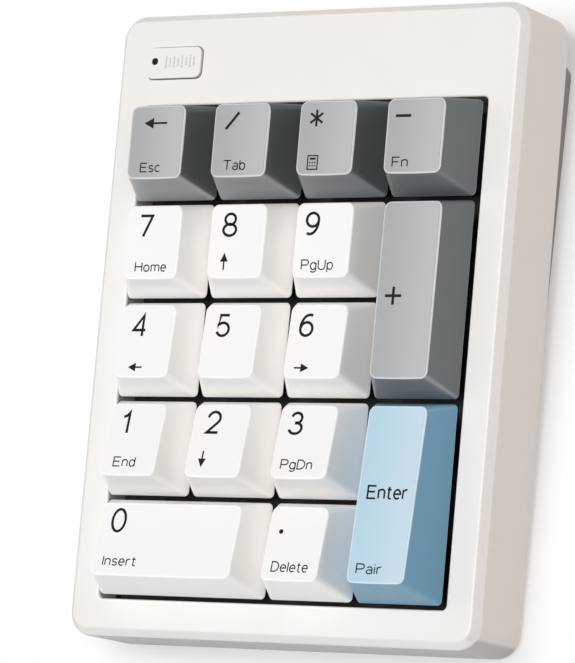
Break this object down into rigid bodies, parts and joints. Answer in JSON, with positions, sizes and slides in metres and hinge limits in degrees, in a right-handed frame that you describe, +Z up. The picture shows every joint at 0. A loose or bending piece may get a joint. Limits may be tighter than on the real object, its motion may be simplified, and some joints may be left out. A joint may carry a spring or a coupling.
{
  "type": "numeric keypad",
  "caption": "Compact numeric keypad with travelling mechanical keys, long keys held level by wires, and a wedge-shaped case.",
  "frame": {"origin": "centre of the footprint, on the surface the feet stand on", "axes": "+X to the right of a person typing, +Y to the rear, +Z up; the deck leans back 2.7 degrees"},
  "size_m": [0.0904, 0.1218, 0.031],
  "materials": {
    "case_plastic": "warm white, fine satin texture",
    "base_plastic": "dark taupe, fine satin texture",
    "cap_white": "white, fine matte texture",
    "cap_gray": "cool gray, fine matte texture",
    "cap_blue": "light blue, fine matte texture",
    "foot_rubber": "matte",
    "plate_steel": "black powder coat",
    "board_laminate": "solder mask",
    "dark_plastic": "satin",
    "slider_plastic": "satin",
    "bright_steel": "plain",
    "foil": "pouch foil",
    "clear_plastic": "translucent"
  },
  "bodies": {
    "case": {"top_case": "case_plastic", "bottom_case": "base_plastic", "rubber_feet": "foot_rubber", "switch_plate": "plate_steel", "circuit_board": "board_laminate", "board_components": "dark_plastic", "battery": "foil", "switch_lower_housings": "dark_plastic", "switch_upper_housings": "dark_plastic", "switch_contacts": "bright_steel", "switch_springs": "bright_steel", "stabilizer_housings": "dark_plastic", "indicator_badge": "case_plastic", "indicator_light_pipe": "clear_plastic", "usb_socket_shell": "bright_steel", "usb_socket_tongue": "dark_plastic", "mode_switch_body": "bright_steel", "case_screws": "bright_steel", "plate_screws": "bright_steel"},
    "key_escape": {"keycap_escape": "cap_gray", "slider_escape": "slider_plastic"},
    "key_divide": {"keycap_divide": "cap_gray", "slider_divide": "slider_plastic"},
    "key_multiply": {"keycap_multiply": "cap_gray", "slider_multiply": "slider_plastic"},
    "key_minus": {"keycap_minus": "cap_gray", "slider_minus": "slider_plastic"},
    "key_7": {"keycap_7": "cap_white", "slider_7": "slider_plastic"},
    "key_8": {"keycap_8": "cap_white", "slider_8": "slider_plastic"},
    "key_9": {"keycap_9": "cap_white", "slider_9": "slider_plastic"},
    "key_plus": {"keycap_plus": "cap_gray", "slider_plus": "slider_plastic", "stabilizer_sliders_plus": "slider_plastic"},
    "key_4": {"keycap_4": "cap_white", "slider_4": "slider_plastic"},
    "key_5": {"keycap_5": "cap_white", "slider_5": "slider_plastic"},
    "key_6": {"keycap_6": "cap_white", "slider_6": "slider_plastic"},
    "key_1": {"keycap_1": "cap_white", "slider_1": "slider_plastic"},
    "key_2": {"keycap_2": "cap_white", "slider_2": "slider_plastic"},
    "key_3": {"keycap_3": "cap_white", "slider_3": "slider_plastic"},
    "key_enter": {"keycap_enter": "cap_blue", "slider_enter": "slider_plastic", "stabilizer_sliders_enter": "slider_plastic"},
    "key_0": {"keycap_0": "cap_white", "slider_0": "slider_plastic", "stabilizer_sliders_0": "slider_plastic"},
    "key_point": {"keycap_point": "cap_white", "slider_point": "slider_plastic"},
    "wire_plus": {"stabilizer_wire_plus": "bright_steel"},
    "wire_enter": {"stabilizer_wire_enter": "bright_steel"},
    "wire_0": {"stabilizer_wire_0": "bright_steel"},
    "mode_switch": {"mode_switch_knob": "dark_plastic"}
  },
  "joints": [
    {"name": "press_escape", "type": "slide", "parent": "case", "child": "key_escape", "axis": [0, 0.0471, -0.9989], "range_m": [0, 0.0038], "stiffness_N_per_m": 75, "springref_m": -0.005, "deforming": ["switch_springs"]},
    {"name": "press_divide", "type": "slide", "parent": "case", "child": "key_divide", "axis": [0, 0.0471, -0.9989], "range_m": [0, 0.0038], "stiffness_N_per_m": 75, "springref_m": -0.005, "deforming": ["switch_springs"]},
    {"name": "press_multiply", "type": "slide", "parent": "case", "child": "key_multiply", "axis": [0, 0.0471, -0.9989], "range_m": [0, 0.0038], "stiffness_N_per_m": 75, "springref_m": -0.005, "deforming": ["switch_springs"]},
    {"name": "press_minus", "type": "slide", "parent": "case", "child": "key_minus", "axis": [0, 0.0471, -0.9989], "range_m": [0, 0.0038], "stiffness_N_per_m": 75, "springref_m": -0.005, "deforming": ["switch_springs"]},
    {"name": "press_7", "type": "slide", "parent": "case", "child": "key_7", "axis": [0, 0.0471, -0.9989], "range_m": [0, 0.0038], "stiffness_N_per_m": 75, "springref_m": -0.005, "deforming": ["switch_springs"]},
    {"name": "press_8", "type": "slide", "parent": "case", "child": "key_8", "axis": [0, 0.0471, -0.9989], "range_m": [0, 0.0038], "stiffness_N_per_m": 75, "springref_m": -0.005, "deforming": ["switch_springs"]},
    {"name": "press_9", "type": "slide", "parent": "case", "child": "key_9", "axis": [0, 0.0471, -0.9989], "range_m": [0, 0.0038], "stiffness_N_per_m": 75, "springref_m": -0.005, "deforming": ["switch_springs"]},
    {"name": "press_plus", "type": "slide", "parent": "case", "child": "key_plus", "axis": [0, 0.0471, -0.9989], "range_m": [0, 0.0038], "stiffness_N_per_m": 75, "springref_m": -0.005, "deforming": ["switch_springs"]},
    {"name": "press_4", "type": "slide", "parent": "case", "child": "key_4", "axis": [0, 0.0471, -0.9989], "range_m": [0, 0.0038], "stiffness_N_per_m": 75, "springref_m": -0.005, "deforming": ["switch_springs"]},
    {"name": "press_5", "type": "slide", "parent": "case", "child": "key_5", "axis": [0, 0.0471, -0.9989], "range_m": [0, 0.0038], "stiffness_N_per_m": 75, "springref_m": -0.005, "deforming": ["switch_springs"]},
    {"name": "press_6", "type": "slide", "parent": "case", "child": "key_6", "axis": [0, 0.0471, -0.9989], "range_m": [0, 0.0038], "stiffness_N_per_m": 75, "springref_m": -0.005, "deforming": ["switch_springs"]},
    {"name": "press_1", "type": "slide", "parent": "case", "child": "key_1", "axis": [0, 0.0471, -0.9989], "range_m": [0, 0.0038], "stiffness_N_per_m": 75, "springref_m": -0.005, "deforming": ["switch_springs"]},
    {"name": "press_2", "type": "slide", "parent": "case", "child": "key_2", "axis": [0, 0.0471, -0.9989], "range_m": [0, 0.0038], "stiffness_N_per_m": 75, "springref_m": -0.005, "deforming": ["switch_springs"]},
    {"name": "press_3", "type": "slide", "parent": "case", "child": "key_3", "axis": [0, 0.0471, -0.9989], "range_m": [0, 0.0038], "stiffness_N_per_m": 75, "springref_m": -0.005, "deforming": ["switch_springs"]},
    {"name": "press_enter", "type": "slide", "parent": "case", "child": "key_enter", "axis": [0, 0.0471, -0.9989], "range_m": [0, 0.0038], "stiffness_N_per_m": 75, "springref_m": -0.005, "deforming": ["switch_springs"]},
    {"name": "press_0", "type": "slide", "parent": "case", "child": "key_0", "axis": [0, 0.0471, -0.9989], "range_m": [0, 0.0038], "stiffness_N_per_m": 75, "springref_m": -0.005, "deforming": ["switch_springs"]},
    {"name": "press_point", "type": "slide", "parent": "case", "child": "key_point", "axis": [0, 0.0471, -0.9989], "range_m": [0, 0.0038], "stiffness_N_per_m": 75, "springref_m": -0.005, "deforming": ["switch_springs"]},
    {"name": "turn_wire_plus", "type": "hinge", "parent": "case", "child": "wire_plus", "pos_m": [0.01968, 0.00382, 0.01528], "axis": [0, 0.9989, 0.0471], "range_deg": [0, 28.64]},
    {"name": "turn_wire_enter", "type": "hinge", "parent": "case", "child": "wire_enter", "pos_m": [0.01968, -0.03423, 0.01349], "axis": [0, 0.9989, 0.0471], "range_deg": [0, 28.64]},
    {"name": "turn_wire_0", "type": "hinge", "parent": "case", "child": "wire_0", "pos_m": [-0.01905, -0.03486, 0.01346], "axis": [1, 0, 0], "range_deg": [0, 28.64]},
    {"name": "slide_mode_switch", "type": "slide", "parent": "case", "child": "mode_switch", "axis": [1, 0, 0], "range_m": [-0.002, 0.002]}
  ],
  "couplings": [
    {"joint": "turn_wire_plus", "follows": "press_plus", "rad_per_m": 130.61},
    {"joint": "turn_wire_enter", "follows": "press_enter", "rad_per_m": 130.61},
    {"joint": "turn_wire_0", "follows": "press_0", "rad_per_m": 130.61}
  ]
}
